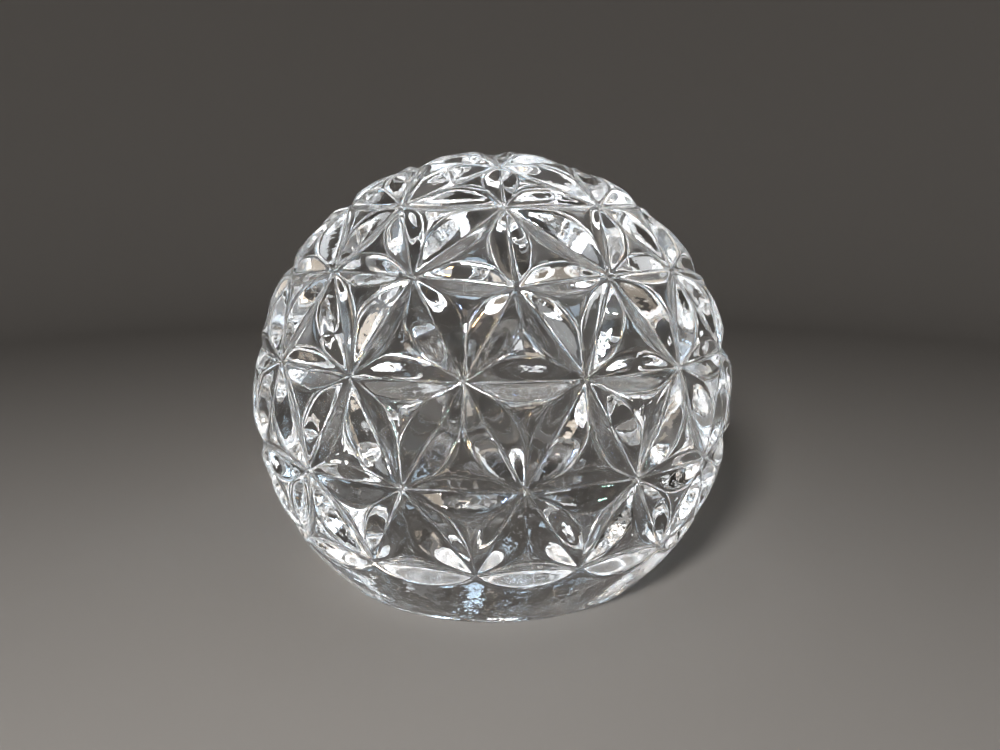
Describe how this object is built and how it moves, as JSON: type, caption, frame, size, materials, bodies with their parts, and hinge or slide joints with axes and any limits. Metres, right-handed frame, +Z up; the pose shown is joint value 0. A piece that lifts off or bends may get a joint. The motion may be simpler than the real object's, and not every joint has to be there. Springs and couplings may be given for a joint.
{
  "type": "paperweight",
  "caption": "Clear cut-crystal ball paperweight: a solid ball ground flat underneath, covered with leaf-shaped mitre cuts that meet in stars.",
  "frame": {"origin": "middle of the flat ground base", "axes": "+Z up through the top star, -Y towards the viewer of the stored front view"},
  "size_m": [0.1, 0.0998, 0.0869],
  "materials": {
    "crystal": "clear lead crystal, polished cuts"
  },
  "bodies": {
    "root": {"crystal_ball": "crystal"}
  },
  "joints": []
}
